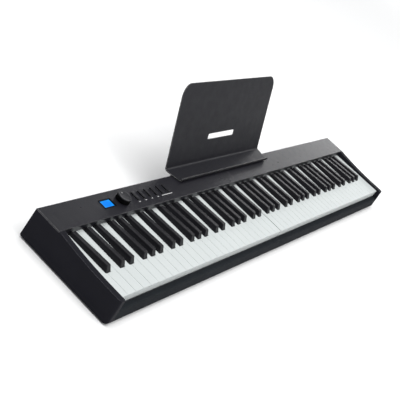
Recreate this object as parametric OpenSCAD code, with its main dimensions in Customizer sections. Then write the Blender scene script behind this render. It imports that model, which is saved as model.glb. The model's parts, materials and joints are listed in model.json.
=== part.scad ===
// Folding digital piano with 88 keys and a lift-off music rest.
// +X runs along the keys to the treble end, +Y runs from the player to the rear, +Z is up.
// The fold seam is the plane X = 0, between E4 and F4. Z = 0 is the underside of the rubber feet.
// Y = 0 is midway between the front of the case and the rearmost edge of the music rest.
// Local heights count from the feet, and local depths count from the front of the case.

/* [Keyboard] */
// Distance from one natural key to the next
key_pitch = 23.5; // [23:0.1:24]
// Gap between neighbouring natural keys
key_gap = 0.6; // [0.5:0.1:1.2]
// Height of a natural key's front face
natural_front_h = 17; // [15:0.5:18]
// Length of a natural key in front of the sharps
natural_head = 50; // [46:1:52]
// Width of a sharp key at its foot
sharp_w = 13.6; // [12.5:0.1:14]
// Width of a sharp key along its top
sharp_top_w = 9.8; // [9:0.1:10.5]
// Height of a sharp key above the naturals, at its front
sharp_h = 11.2; // [10:0.1:12]
// How much lower a sharp key is at its rear
sharp_drop = 4; // [0:0.5:5]
// How far down a natural key's front edge travels
key_dip = 10; // [8:0.5:10]

/* [Case] */
// Depth of the case from front to rear
case_d = 210; // [206:1:214]
// Height of the case above its feet
case_h = 59.5; // [59:0.5:62]
// Thickness of each end cheek
cheek_w = 13.5; // [9:0.5:14]
// Depth of the control deck behind the keys
deck_d = 55.5; // [54:0.5:57]
// Height of the deck above the natural keys
deck_rise = 13.2; // [13:0.1:14.5]
// Wall thickness of the mouldings
wall = 2.5; // [2:0.1:3]
// Height of the rubber feet
foot_h = 3; // [2:0.5:3.5]

/* [Fold hinge] */
// Radius of each hinge pin
pin_r = 1.5; // [1.2:0.1:1.8]
// Distance of each hinge pin from the seam
pin_x = 9; // [9:0.5:10]
// Length of the hinge along the seam
hinge_len = 172; // [150:1:172]
// Number of knuckles along the hinge
knuckle_count = 9; // [7:2:11]

/* [Music rest] */
// Width of the back plate
rest_w = 415; // [380:5:430]
// Length of the back plate above its bend
rest_h = 174; // [150:1:190]
// Lean of the back plate from upright, in degrees
rest_tilt = 23; // [15:1:28]
// Depth of the ledge that carries the sheet music
ledge_d = 37; // [30:1:40]
// Height of the lip along the ledge
lip_h = 8.5; // [6:0.5:10]
// Thickness of the steel sheet
sheet_t = 2; // [1.5:0.1:2.5]

/* [Controls] */
// Radius of the dial
dial_r = 14; // [13:0.5:16]
// Height of the dial above the deck
dial_h = 11; // [6:0.5:12]
// Width of a push button
button_w = 7; // [5:0.5:10]
// Length of a push button
button_l = 20.5; // [16:0.5:22]
// How far a push button stands above the deck
button_h = 3; // [2:0.5:4]
// How far a push button travels
button_travel = 1; // [0.5:0.1:1]

/* [Hidden] */
$fn = 48;
eps = 0.01;
natural_count = 52;
seam_index = 26;
half_w = seam_index * key_pitch;
seam_gap = 0.1;
overall_half = half_w + cheek_w;

// Heights
case_bottom = foot_h;
case_top = foot_h + case_h;
floor_top = case_bottom + wall;
key_top = case_top - deck_rise;
key_front_bottom = key_top - natural_front_h;
natural_skirt = 14;
natural_bottom = key_top - natural_skirt;
natural_skin = 2.5;
key_side_wall = 1.5;
deck_under = case_top - wall;
bed_gap = 0.34;
bed_t = 2;
bed_top = key_front_bottom - key_dip - bed_gap;
bed_bottom = bed_top - bed_t;

// Depths
key_front = 13;
sharp_front = key_front + natural_head;
deck_front = case_d - deck_d;
key_rear = case_d - 28;
pivot_y = key_rear - 8;
pivot_z = key_top - 9.3;
pivot_r = 1.5;
pivot_clear = 0.08;
sharp_rear = deck_front - 3;
sharp_slope = 6;
sharp_clear = 1;
sharp_body_w = sharp_w - 1;
sharp_body_bottom = natural_bottom + 0.7;
sharp_body_front = sharp_front + 1;
seam_wall = 1;
seam_key_edge = seam_gap + seam_wall + 0.3;

// Octave layout, counted from C: which naturals have a sharp on their right, and where it sits
has_sharp = [1, 1, 0, 1, 1, 1, 0];
sharp_shift = [-0.10, 0.10, 0, -0.13, 0, 0.13, 0];
first_note = 5;
function note(i) = (i + first_note) % 7;
function sharp_right(i) = i >= 0 && i < natural_count - 1 && has_sharp[note(i)] == 1;
function boundary_x(i) = (i - seam_index) * key_pitch;
function sharp_x(i) = boundary_x(i + 1) + sharp_shift[note(i)] * key_pitch;
function head_left(i) = i == seam_index ? seam_key_edge : boundary_x(i) + key_gap / 2;
function head_right(i) = i == seam_index - 1 ? -seam_key_edge : boundary_x(i + 1) - key_gap / 2;
function tail_left(i) = sharp_right(i - 1) ? sharp_x(i - 1) + sharp_w / 2 + sharp_clear : head_left(i);
function tail_right(i) = sharp_right(i) ? sharp_x(i) - sharp_w / 2 - sharp_clear : head_right(i);
function tail_mid(i) = (tail_left(i) + tail_right(i)) / 2;
function head_mid(i) = (head_left(i) + head_right(i)) / 2;

// Single keys around the seam, by the index of the natural
c4 = 23;
d4 = 24;
e4 = 25;
f4 = 26;
g4 = 27;
a4 = 28;
b4 = 29;

// Front rail and cheek outlines
rail_d = key_front + 9;
rail_lean = 2;
rail_ledge_rear = key_front - 0.6;
rail_ledge_front_drop = 1.5;
rail_edge_r = 2.5;
bottom_edge_r = 7;
cheek_lean = 3;
cheek_front_top = key_top + 5;
cheek_curve_start = 32;
cheek_curve_steps = 12;
cheek_edge_r = 3;
cheek_corner_r = 8;
pocket_spans = [[26, 98], [104, 200]];
pocket_bottom = floor_top + 3;
pocket_top = key_front_bottom + 12;
pocket_skin = 3;
deck_edge_r = 2;
deck_front_r = 1;
deck_lip_bottom = key_top + 2.2;

// Fold hinge
pin_z = case_bottom + 4;
knuckle_r = 4;
knuckle_gap = 0.4;
knuckle_clear = 0.5;
hinge_front = rail_d;
knuckle_pitch = hinge_len / knuckle_count;
groove_w = pin_x + knuckle_r + 1.5;
groove_h = pin_z + knuckle_r + knuckle_clear - case_bottom;
leaf_w = 56;
leaf_t = 2;
pin_clear = 0.06;
web_t = 3;
seam_chamfer = 3.2;

// Electrical connector between the halves
connector_y = 122;
connector_w = 30;
connector_l = 8;
connector_z = case_bottom + groove_h + 2.3;
connector_h = bed_bottom - 0.4 - connector_z;
connector_pins = 5;
connector_pin_pitch = 5;
connector_pin_r = 0.8;

// Key frame and contacts
post_w = 5;
post_d = 8;
guide_post_y = key_front + 23;
bed_front = key_front + 1;
bed_rear = pivot_y + 6;
contact_y = 120;
contact_board_z = bed_top + 0.3;
contact_board_d = 34;
contact_strip_d = 20;
contact_strip_t = 1;
contact_row_shift = 4;
dome_r = 4;
dome_h = 4;

// Music rest
rest_back = 13.7;
rest_bend_y = case_d + rest_back;
ledge_under = case_top + 1.3;
ledge_top = ledge_under + sheet_t;
ledge_taper = 10;
bend_r = 5;
lip_bend_r = 2;
lip_corner_r = 4;
rest_corner_r = 28;
rest_slot_w = 117;
rest_slot_h = 12;
rest_slot_up = 48;
rest_slot_r = 3;
tongue_x = 130;
tongue_w = 30;
tongue_l = 12;
tongue_clear_x = 6.5;
tongue_clear_y = 0.3;
socket_floor_gap = 0.1;
socket_wall = 3;
socket_h = 22;
socket_top = case_top - 3;
rest_rear = rest_bend_y + rest_h * sin(rest_tilt) + sheet_t * cos(rest_tilt);
mid_y = rest_rear / 2;

// Controls on the deck of the left half
deck_mid_y = case_d - 26.5;
display_x = -456;
display_w = 31;
display_d = 17;
bezel_w = 36;
bezel_d = 21;
bezel_h = 0.6;
dial_x = -411;
dial_y = case_d - 28;
dial_gap = 0.4;
dial_shaft_r = 3;
dial_clear = 0.05;
button_count = 6;
button_first_x = -367.5;
button_pitch = 21.4;
button_clear = 0.3;
button_flange = 1;
board_t = 1.6;
control_board_z = 52;
switch_h = 1.2;

// Sockets on the rear wall of the left half
jack_panel_x = -530;
jack_panel_w = 92;
jack_panel_h = 24;
jack_panel_z = 34;
jack_wall = 1.6;
headphone_r = 1.8;
headphone_l = 14;
pedal_r = 3.2;
pedal_l = 18;
usb_w = 9;
usb_h = 3.4;
switch_slot_w = 10;
switch_slot_h = 4.6;
switch_knob_w = 5;
headphone_x = jack_panel_x - 30;
pedal_x = jack_panel_x - 10;
usb_x = jack_panel_x + 10;
switch_x = jack_panel_x + 31;

// Feet, screws and speakers
foot_r = 9;
foot_xs = [72, 585];
foot_ys = [40, 188];
screw_xs = [90, 250, 410, 570];
screw_ys = [52, 152];
screw_head_r = 3.2;
screw_r = 1.5;
boss_r = 4;
leaf_screw_x = 40;
speaker_x = 470;
speaker_y = 94;
speaker_r = 30;
grille_slots = 9;
grille_pitch = 6;
grille_slot_w = 3;

// Main board and batteries
main_board_x = -400;
main_board_y = 94;
cell_r = 6.5;
cell_l = 65;
cell_count = 4;
cell_pitch = 2 * cell_r - 0.2;
battery_x = -240;
battery_y = 102;

// Helpers -------------------------------------------------------------------------------------

// Shifts local depths into the part's own frame
module placed() {
    translate([0, -mid_y, 0]) children();
}

// Draws its children, given for the right half, on the half named by s: -1 left, 1 right
module on_half(s) {
    placed()
        if (s < 0) mirror([1, 0, 0]) children();
        else children();
}

// A box from its low corner to its high corner
module block(low, high) {
    translate(low) cube(high - low);
}

// Extrudes an outline of (depth, height) points along X from x0 to x1
module along_x(x0, x1) {
    translate([x0, 0, 0])
        rotate([90, 0, 90])
            linear_extrude(height = x1 - x0) children();
}

// A round bar along X
module bar_x(x0, x1, y, z, r) {
    translate([x0, y, z]) rotate([0, 90, 0]) cylinder(h = x1 - x0, r = r);
}

// A round bar along Y
module bar_y(y0, y1, x, z, r) {
    translate([x, y1, z]) rotate([90, 0, 0]) cylinder(h = y1 - y0, r = r);
}

// A round bar along Z
module bar_z(z0, z1, x, y, r) {
    translate([x, y, z0]) cylinder(h = z1 - z0, r = r);
}

// Points of an arc about (cy, cz)
function arc(cy, cz, r, from, to, steps = 6) =
    [for (k = [0 : steps]) let (a = from + (to - from) * k / steps) [cy + r * cos(a), cz + r * sin(a)]];

// A rectangle with all four corners round
module round_rect(w, d, r) {
    square([w - 2 * r, d], center = true);
    square([w, d - 2 * r], center = true);
    for (sx = [-1, 1], sy = [-1, 1]) translate([sx * (w / 2 - r), sy * (d / 2 - r)]) circle(r = r);
}

// Height of a cheek's top edge: level at the front, then curving up to the deck
function cheek_top(y) =
    cheek_front_top + (case_top - cheek_front_top)
    * pow(max(0, y - cheek_curve_start) / (deck_front - cheek_curve_start), 2);

// Case ----------------------------------------------------------------------------------------

// Outline of a cheek, seen from the side
module cheek_outline() {
    polygon(concat(
        arc(bottom_edge_r, case_bottom + bottom_edge_r, bottom_edge_r, 180, 270),
        [[case_d - deck_edge_r, case_bottom]],
        [[case_d, case_bottom + deck_edge_r]],
        [[case_d, deck_under]],
        [[deck_front, deck_under]],
        [for (k = [0 : cheek_curve_steps])
            let (y = deck_front - 0.2 - (deck_front - cheek_curve_start) * k / cheek_curve_steps)
            [y, cheek_top(y)]],
        arc(cheek_lean + cheek_edge_r, cheek_front_top - cheek_edge_r, cheek_edge_r, 90, 172)
    ));
}

module end_cheek(s) {
    on_half(s)
        difference() {
            along_x(half_w, overall_half) cheek_outline();
            // Lightening pockets on the inner face
            for (span = pocket_spans)
                block([half_w - 1, span[0], pocket_bottom],
                      [overall_half - pocket_skin, span[1], pocket_top]);
            cheek_corner_cut();
        }
}

// Rounds the outer front corner, along the lean of the cheek's front edge
module cheek_corner_cut() {
    r = cheek_corner_r;
    lean = atan(cheek_lean / (cheek_front_top - case_bottom - bottom_edge_r));
    translate([overall_half - r, r, case_bottom + bottom_edge_r])
        rotate([-lean, 0, 0])
            translate([0, 0, -r - bottom_edge_r])
                linear_extrude(height = case_h + 2 * r)
                    difference() {
                        translate([0, -2 * r]) square([r + 1, 2 * r]);
                        circle(r = r);
                    }
}

module front_rail(s) {
    ledge_z = key_front_bottom;
    face_z = ledge_z - rail_ledge_front_drop;
    on_half(s)
        difference() {
            along_x(seam_gap, half_w)
                polygon(concat(
                    arc(bottom_edge_r, case_bottom + bottom_edge_r, bottom_edge_r, 180, 270),
                    [[rail_d, case_bottom], [rail_d, floor_top], [bottom_edge_r, floor_top]],
                    arc(bottom_edge_r, case_bottom + bottom_edge_r, bottom_edge_r - wall, 270, 180),
                    [[wall + rail_lean / 2, face_z - wall]],
                    [[rail_ledge_rear, ledge_z - wall], [rail_ledge_rear, ledge_z]],
                    arc(rail_lean + rail_edge_r, face_z - rail_edge_r, rail_edge_r, 90, 176)
                ));
            seam_edge_cut();
        }
}

// Relief that lets the seam's lower edges pass each other as the halves fold
module seam_edge_cut() {
    side = seam_chamfer * sqrt(2);
    translate([0, case_d / 2, case_bottom])
        rotate([0, 45, 0])
            cube([side, case_d + 2, side], center = true);
}

// Profile of the deck moulding: top skin, front lip and rounded edges
module deck_profile() {
    polygon(concat(
        [[deck_front, deck_lip_bottom]],
        [[deck_front + wall, deck_lip_bottom]],
        [[deck_front + wall, deck_under]],
        [[case_d, deck_under]],
        arc(case_d - deck_edge_r, case_top - deck_edge_r, deck_edge_r, 0, 90),
        arc(deck_front + deck_front_r, case_top - deck_front_r, deck_front_r, 90, 180)
    ));
}

module top_deck(s) {
    on_half(s)
        difference() {
            along_x(seam_gap, overall_half) deck_profile();
            // The front lip stops at the cheek
            block([half_w - 0.2, deck_front - 1, 0],
                  [overall_half + 1, deck_front + wall + eps, deck_under]);
            if (s < 0) control_openings();
        }
}

// Openings in the left deck, drawn for the mirrored half
module control_openings() {
    z0 = deck_under - 1;
    z1 = case_top + 1;
    block([-display_x - display_w / 2 - 0.3, deck_mid_y - display_d / 2 - 0.3, z0],
          [-display_x + display_w / 2 + 0.3, deck_mid_y + display_d / 2 + 0.3, z1]);
    bar_z(z0, z1, -dial_x, dial_y, dial_shaft_r + 1);
    for (k = [0 : button_count - 1])
        translate([-button_x(k), deck_mid_y, z0])
            linear_extrude(height = z1 - z0)
                round_rect(button_w + 2 * button_clear, button_l + 2 * button_clear, 2 + button_clear);
}

function button_x(k) = button_first_x + k * button_pitch;

// Places its children on every case screw of the right half
module at_screws() {
    for (x = screw_xs, y = screw_ys) translate([x, y, 0]) children();
}

// Places its children on every screw of the hinge leaf of the right half
module at_leaf_screws() {
    for (k = [0 : 2 : knuckle_count - 1])
        translate([leaf_screw_x, hinge_front + (k + 0.5) * knuckle_pitch, 0]) children();
}

module bottom_case(s) {
    leaf_pad_top = case_bottom + leaf_t + wall;
    hinge_rear = hinge_front + hinge_len;
    on_half(s)
        difference() {
            union() {
                // Floor and rear wall
                block([seam_gap, rail_d + 0.1, case_bottom], [half_w, case_d, floor_top]);
                block([seam_gap, case_d - wall, case_bottom], [half_w, case_d, deck_under]);
                // Seam wall, and the thicker rib that surrounds the hinge groove
                block([seam_gap, key_front + 1, case_bottom + groove_h],
                      [seam_gap + seam_wall, case_d - eps, key_top - 2.5]);
                block([seam_gap, rail_d + 0.1, case_bottom],
                      [groove_w + 2, case_d - eps, case_bottom + groove_h + 2]);
                // Pad above the recess for the hinge leaf
                block([groove_w, rail_d + 0.1, floor_top - eps],
                      [leaf_w + 2, hinge_rear + 2, leaf_pad_top]);
                // Socket for one tongue of the music rest
                block([tongue_x - tongue_w / 2 - tongue_clear_x - socket_wall, case_d - eps,
                       socket_top - socket_h],
                      [tongue_x + tongue_w / 2 + tongue_clear_x + socket_wall,
                       rest_bend_y + sheet_t + socket_wall, socket_top]);
            }
            // Hinge groove and the recess for the hinge leaf
            block([-1, 0, 0], [groove_w, hinge_rear + 0.3, case_bottom + groove_h]);
            block([0, 0, 0], [leaf_w + 0.3, hinge_rear + 0.3, case_bottom + leaf_t]);
            seam_edge_cut();
            // Slot of the socket
            block([tongue_x - tongue_w / 2 - tongue_clear_x, rest_bend_y - tongue_clear_y,
                   socket_top - tongue_l - socket_floor_gap],
                  [tongue_x + tongue_w / 2 + tongue_clear_x, rest_bend_y + sheet_t + tongue_clear_y,
                   socket_top + 1]);
            // Window for the connector between the halves
            block([-1, connector_y - connector_w / 2 - 0.2, connector_z - 0.2],
                  [3, connector_y + connector_w / 2 + 0.2, connector_z + connector_h + 0.2]);
            // Screw holes
            at_screws() {
                bar_z(0, floor_top + 1, 0, 0, screw_r + 0.2);
                bar_z(0, case_bottom + 1.4, 0, 0, screw_head_r + 0.3);
            }
            at_leaf_screws() bar_z(0, leaf_pad_top + 1, 0, 0, screw_r + 0.05);
            // Sockets for the plugs of the feet
            at_feet() bar_z(0, floor_top + 1, 0, 0, foot_r / 3);
            // Speaker grille
            for (k = [0 : grille_slots - 1])
                translate([speaker_x + (k - (grille_slots - 1) / 2) * grille_pitch, speaker_y, 0])
                    grille_slot(2 * sqrt(pow(speaker_r - 4, 2)
                        - pow((k - (grille_slots - 1) / 2) * grille_pitch, 2)));
            if (s < 0) jack_window();
        }
}

// One slot of the speaker grille, with round ends
module grille_slot(length) {
    r = grille_slot_w / 2;
    block([-r, -length / 2 + r, 0], [r, length / 2 - r, floor_top + 1]);
    for (e = [-1, 1]) bar_z(0, floor_top + 1, 0, e * (length / 2 - r), r);
}

// Window in the rear wall, drawn for the mirrored half
module jack_window() {
    block([-jack_panel_x - jack_panel_w / 2, case_d - wall - 1, jack_panel_z - jack_panel_h / 2],
          [-jack_panel_x + jack_panel_w / 2, case_d + 1, jack_panel_z + jack_panel_h / 2]);
}

module at_feet() {
    for (x = foot_xs, y = foot_ys) translate([x, y, 0]) children();
}

module feet(s) {
    on_half(s)
        at_feet() {
            rotate_extrude() polygon([[0, 0], [foot_r - 1, 0], [foot_r, 1], [foot_r, foot_h], [0, foot_h]]);
            bar_z(foot_h - eps, floor_top, 0, 0, foot_r / 3 - 0.1);
        }
}

module case_screws(s) {
    on_half(s) {
        at_screws() {
            bar_z(case_bottom + 0.2, case_bottom + 1.4, 0, 0, screw_head_r);
            bar_z(case_bottom + 1.3, bed_bottom - 1, 0, 0, screw_r);
        }
        at_leaf_screws() {
            bar_z(case_bottom + 0.2, case_bottom + 1.2, 0, 0, screw_head_r);
            bar_z(case_bottom + 1.1, floor_top + 5, 0, 0, screw_r);
        }
    }
}

// Fold hinge ----------------------------------------------------------------------------------

function knuckle_y(k) = hinge_front + k * knuckle_pitch;

module hinge_leaf(s) {
    on_half(s)
        difference() {
            union() {
                block([groove_w - 2, knuckle_y(0) + knuckle_gap, case_bottom],
                      [leaf_w, knuckle_y(knuckle_count) - knuckle_gap, case_bottom + leaf_t]);
                for (k = [0 : 2 : knuckle_count - 1]) {
                    bar_y(knuckle_y(k) + knuckle_gap, knuckle_y(k + 1) - knuckle_gap,
                          pin_x, pin_z, knuckle_r);
                    block([pin_x, knuckle_y(k) + knuckle_gap, case_bottom],
                          [groove_w, knuckle_y(k + 1) - knuckle_gap, case_bottom + leaf_t]);
                }
            }
            bar_y(0, case_d, pin_x, pin_z, pin_r + pin_clear);
            at_leaf_screws() {
                bar_z(0, case_bottom + leaf_t + 1, 0, 0, screw_r + 0.2);
                bar_z(0, case_bottom + 1.2, 0, 0, screw_head_r + 0.3);
            }
        }
}

module hinge_spine() {
    web_half = pin_x - knuckle_r - knuckle_clear;
    color("dimgray") placed()
        difference() {
            union() {
                block([-web_half, knuckle_y(0) + knuckle_gap, pin_z - web_t / 2],
                      [web_half, knuckle_y(knuckle_count) - knuckle_gap, pin_z + web_t / 2]);
                for (k = [1 : 2 : knuckle_count - 2]) {
                    block([-pin_x, knuckle_y(k) + knuckle_gap, pin_z - web_t / 2],
                          [pin_x, knuckle_y(k + 1) - knuckle_gap, pin_z + web_t / 2]);
                    for (e = [-1, 1])
                        bar_y(knuckle_y(k) + knuckle_gap, knuckle_y(k + 1) - knuckle_gap,
                              e * pin_x, pin_z, knuckle_r);
                }
            }
            for (e = [-1, 1]) bar_y(0, case_d, e * pin_x, pin_z, pin_r);
        }
}

module hinge_pins() {
    color("silver") placed()
        for (e = [-1, 1])
            bar_y(knuckle_y(0) + knuckle_gap, knuckle_y(knuckle_count) - knuckle_gap,
                  e * pin_x, pin_z, pin_r);
}

// One half of the electrical connector at the seam, with its pins toward the boards
module seam_connector(s) {
    x0 = seam_gap + 0.1;
    x1 = seam_gap + connector_l;
    on_half(s) {
        block([x0, connector_y - connector_w / 2, connector_z],
              [x1, connector_y + connector_w / 2, connector_z + connector_h]);
        for (k = [0 : connector_pins - 1])
            bar_x(x1 - 1, x1 + 3,
                  connector_y + (k - (connector_pins - 1) / 2) * connector_pin_pitch,
                  connector_z + connector_h / 2, connector_pin_r);
    }
}

// Key action ----------------------------------------------------------------------------------

module natural_key(i) {
    x0 = head_left(i);
    x1 = head_right(i);
    t0 = tail_left(i);
    t1 = tail_right(i);
    w = key_side_wall;
    inner_top = key_top - natural_skin;
    difference() {
        union() {
            block([x0, key_front, key_front_bottom], [x1, sharp_front - 1, key_top]);
            block([t0, sharp_front - 2, natural_bottom], [t1, key_rear, key_top]);
        }
        block([x0 + w, key_front + w, 0], [x1 - w, sharp_front - 1 - w, inner_top]);
        block([t0 + w, sharp_front - 2 - w, 0], [t1 - w, key_rear - w, inner_top]);
        bar_x(x0 - 1, x1 + 1, pivot_y, pivot_z, pivot_r + pivot_clear);
    }
}

module sharp_key(i) {
    x = sharp_x(i);
    foot = sharp_w / 2;
    top = sharp_top_w / 2;
    z0 = key_top - 1;
    z1 = key_top + sharp_h;
    edge = 0.8;
    // The cap is the side outline and the front outline, cut through each other
    difference() {
        union() {
            block([x - sharp_body_w / 2, sharp_body_front, sharp_body_bottom],
                  [x + sharp_body_w / 2, key_rear, key_top]);
            intersection() {
                along_x(x - sharp_w, x + sharp_w)
                    polygon([[sharp_front, z0], [sharp_rear, z0], [sharp_rear, z1 - sharp_drop],
                             [sharp_front + sharp_slope + edge, z1],
                             [sharp_front + sharp_slope - edge / 2, z1 - edge], [sharp_front, key_top]]);
                translate([x, case_d, 0])
                    rotate([90, 0, 0])
                        linear_extrude(height = case_d)
                            polygon([[-foot, z0], [foot, z0], [foot, key_top], [top, z1 - edge],
                                     [top - edge, z1], [edge - top, z1], [-top, z1 - edge],
                                     [-foot, key_top]]);
            }
        }
        bar_x(x - sharp_w, x + sharp_w, pivot_y, pivot_z, pivot_r + pivot_clear);
    }
}

// Keys in a range of naturals, without the ones that are nodes of their own
module naturals(from, to) {
    color("whitesmoke") placed()
        for (i = [from : to]) natural_key(i);
}

module sharps(from, to) {
    color("#202022") placed()
        for (i = [from : to]) if (sharp_right(i)) sharp_key(i);
}

module key_frame(s) {
    from = s < 0 ? 0 : seam_index;
    to = from + seam_index - 1;
    low_x = s < 0 ? 0.5 - half_w : seam_key_edge;
    high_x = s < 0 ? -seam_key_edge : half_w - 0.5;
    color("slategray") placed()
        difference() {
            union() {
                block([low_x, bed_front, bed_bottom], [high_x, bed_rear, bed_top]);
                for (i = [from : to]) {
                    // Guide post inside the head of the key, and pivot post inside its tail
                    key_post(head_mid(i), guide_post_y, natural_bottom - 2);
                    key_post(tail_mid(i), pivot_y, pivot_z + 3.5);
                }
                for (x = screw_xs, y = screw_ys) bar_z(floor_top, bed_bottom + eps, s * x, y, boss_r);
            }
            for (x = screw_xs, y = screw_ys) bar_z(0, bed_bottom - 0.5, s * x, y, screw_r + 0.05);
            bar_x(low_x - 1, high_x + 1, pivot_y, pivot_z, pivot_r + 0.03);
        }
}

// A post that stands on the bed, centred on (x, y)
module key_post(x, y, top) {
    block([x - post_w / 2, y - post_d / 2, bed_top - eps], [x + post_w / 2, y + post_d / 2, top]);
}

module pivot_rod(s) {
    on_half(s) bar_x(seam_gap + seam_wall + 0.2, half_w - 0.2, pivot_y, pivot_z, pivot_r);
}

module contact_board(s) {
    on_half(s)
        block([seam_gap + seam_wall + 2, contact_y - contact_board_d / 2, contact_board_z],
              [half_w - 3, contact_y + contact_board_d / 2, contact_board_z + board_t]);
}

// Silicone strip with one dome under each key
module contact_strip(s) {
    from = s < 0 ? 0 : seam_index;
    to = from + seam_index - 1;
    end_gap = 6;
    z0 = contact_board_z + board_t;
    z1 = z0 + contact_strip_t;
    color("gainsboro") placed() {
        block([s < 0 ? end_gap - half_w : end_gap, contact_y - contact_strip_d / 2, z0],
              [s < 0 ? -end_gap : half_w - end_gap, contact_y + contact_strip_d / 2, z1]);
        for (i = [from : to]) {
            bar_z(z1 - eps, z1 + dome_h, tail_mid(i), contact_y - contact_row_shift, dome_r);
            if (sharp_right(i) && i != seam_index - 1)
                bar_z(z1 - eps, z1 + dome_h, sharp_x(i), contact_y + contact_row_shift, dome_r);
        }
    }
}

// Electronics ---------------------------------------------------------------------------------

// Speaker that faces down through the grille
module speaker(s) {
    frame_t = 2;
    cap_r = 8;
    cap_z = 3;
    magnet_r = 17;
    magnet_bottom = 7;
    magnet_top = 12;
    on_half(s)
        translate([speaker_x, speaker_y, floor_top])
            rotate_extrude()
                polygon([[0, cap_z], [cap_r, cap_z], [speaker_r - 4, 0.3], [speaker_r, 0],
                         [speaker_r, frame_t], [speaker_r - 3, frame_t + 0.5],
                         [magnet_r, magnet_bottom], [magnet_r, magnet_top], [0, magnet_top]]);
}

// Board on four posts, with two chips and a row of capacitors
module main_board() {
    z0 = floor_top + 3;
    z1 = z0 + board_t;
    w = 110;
    d = 60;
    post_inset = 8;
    post_r = 3;
    chip_h = 1.4;
    capacitor_r = 4;
    capacitor_h = 6;
    capacitor_pitch = 14;
    color("darkgreen") placed() translate([main_board_x, main_board_y, 0]) {
        block([0, 0, z0], [w, d, z1]);
        for (x = [post_inset, w - post_inset], y = [post_inset, d - post_inset])
            bar_z(floor_top, z0 + eps, x, y, post_r);
        // Each chip: centre along X and half its width
        for (chip = [[40, 10], [70, 6]])
            block([chip[0] - chip[1], d / 2 - chip[1], z1 - eps],
                  [chip[0] + chip[1], d / 2 + chip[1], z1 + chip_h]);
        for (k = [1 : 3])
            bar_z(z1 - eps, z1 + capacitor_h, w - 20, k * capacitor_pitch, capacitor_r);
    }
}

module battery_pack() {
    color("royalblue") placed()
        for (k = [0 : cell_count - 1])
            bar_x(battery_x, battery_x + cell_l, battery_y + k * cell_pitch,
                  floor_top + 0.3 + cell_r, cell_r);
}

module display_bezel() {
    color("#101012") placed()
        translate([display_x, deck_mid_y, case_top])
            linear_extrude(height = bezel_h)
                difference() {
                    round_rect(bezel_w, bezel_d, 1.5);
                    square([display_w + 0.4, display_d + 0.4], center = true);
                }
}

module display_lens() {
    color("deepskyblue") placed() {
        block([display_x - display_w / 2, deck_mid_y - display_d / 2, deck_under - 2],
              [display_x + display_w / 2, deck_mid_y + display_d / 2, case_top + bezel_h / 2]);
    }
}

// Board under the deck that carries the encoder and the push switches
module control_board() {
    z1 = control_board_z + board_t;
    half_d = 22;
    encoder = 6.5;
    switch = 3;
    color("darkgreen") placed()
        difference() {
            union() {
                block([display_x - 24, deck_mid_y - half_d, control_board_z],
                      [button_x(button_count - 1) + 14, deck_mid_y + half_d, z1]);
                block([dial_x - encoder, dial_y - encoder, z1 - eps],
                      [dial_x + encoder, dial_y + encoder, deck_under - 1.5]);
                for (k = [0 : button_count - 1])
                    block([button_x(k) - switch, deck_mid_y - switch, z1 - eps],
                          [button_x(k) + switch, deck_mid_y + switch, z1 + switch_h]);
            }
            bar_z(z1, case_top, dial_x, dial_y, dial_shaft_r + dial_clear);
        }
}

// Fittings that move --------------------------------------------------------------------------

module dial_knob() {
    z0 = case_top + dial_gap;
    z1 = case_top + dial_h;
    color("#2a2a2d") placed()
        translate([dial_x, dial_y, 0])
            difference() {
                rotate_extrude($fn = 96)
                    polygon([[0, z0], [dial_r - 0.4, z0], [dial_r, z0 + 0.6], [dial_r - 0.5, z1 - 1],
                             [dial_r - 1.5, z1], [0, z1]]);
                bar_z(z0 - 1, z1 - 2, 0, 0, dial_shaft_r + 0.02);
            }
}

module dial_shaft() {
    color("silver") placed()
        bar_z(control_board_z + board_t + 0.5, case_top + dial_h - 2.2, dial_x, dial_y, dial_shaft_r);
}

module push_button(k) {
    color("#28282b") placed()
        translate([button_x(k), deck_mid_y, 0]) {
            translate([0, 0, deck_under - 0.3])
                linear_extrude(height = button_h + wall + 0.3) round_rect(button_w, button_l, 2);
            block([-button_w / 2 - button_flange, -button_l / 2 - button_flange, deck_under - 1.3],
                  [button_w / 2 + button_flange, button_l / 2 + button_flange, deck_under - 0.3 + eps]);
            block([-2, -2, control_board_z + board_t + switch_h + button_travel + 0.2],
                  [2, 2, deck_under - 1.3 + eps]);
        }
}

// Panel with the sockets, set in the window of the rear wall
module jack_panel() {
    y1 = case_d;
    y0 = case_d - wall;
    gap = 0.2;
    color("#18181a") placed()
        difference() {
            union() {
                block([jack_panel_x - jack_panel_w / 2 + gap, y0, jack_panel_z - jack_panel_h / 2 + gap],
                      [jack_panel_x + jack_panel_w / 2 - gap, y1, jack_panel_z + jack_panel_h / 2 - gap]);
                bar_y(y1 - headphone_l - jack_wall, y1 - eps, headphone_x, jack_panel_z,
                      headphone_r + 2 * jack_wall);
                bar_y(y1 - pedal_l - jack_wall, y1 - eps, pedal_x, jack_panel_z,
                      pedal_r + 2 * jack_wall);
                block([usb_x - usb_w / 2 - jack_wall, y1 - 8, jack_panel_z - usb_h / 2 - jack_wall],
                      [usb_x + usb_w / 2 + jack_wall, y1 - eps, jack_panel_z + usb_h / 2 + jack_wall]);
            }
            bar_y(y1 - headphone_l, y1 + 1, headphone_x, jack_panel_z, headphone_r);
            bar_y(y1 - pedal_l, y1 + 1, pedal_x, jack_panel_z, pedal_r);
            block([usb_x - usb_w / 2, y1 - 6.5, jack_panel_z - usb_h / 2],
                  [usb_x + usb_w / 2, y1 + 1, jack_panel_z + usb_h / 2]);
            block([switch_x - switch_slot_w / 2, y0 - 1, jack_panel_z - switch_slot_h / 2],
                  [switch_x + switch_slot_w / 2, y1 + 1, jack_panel_z + switch_slot_h / 2]);
        }
}

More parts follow.
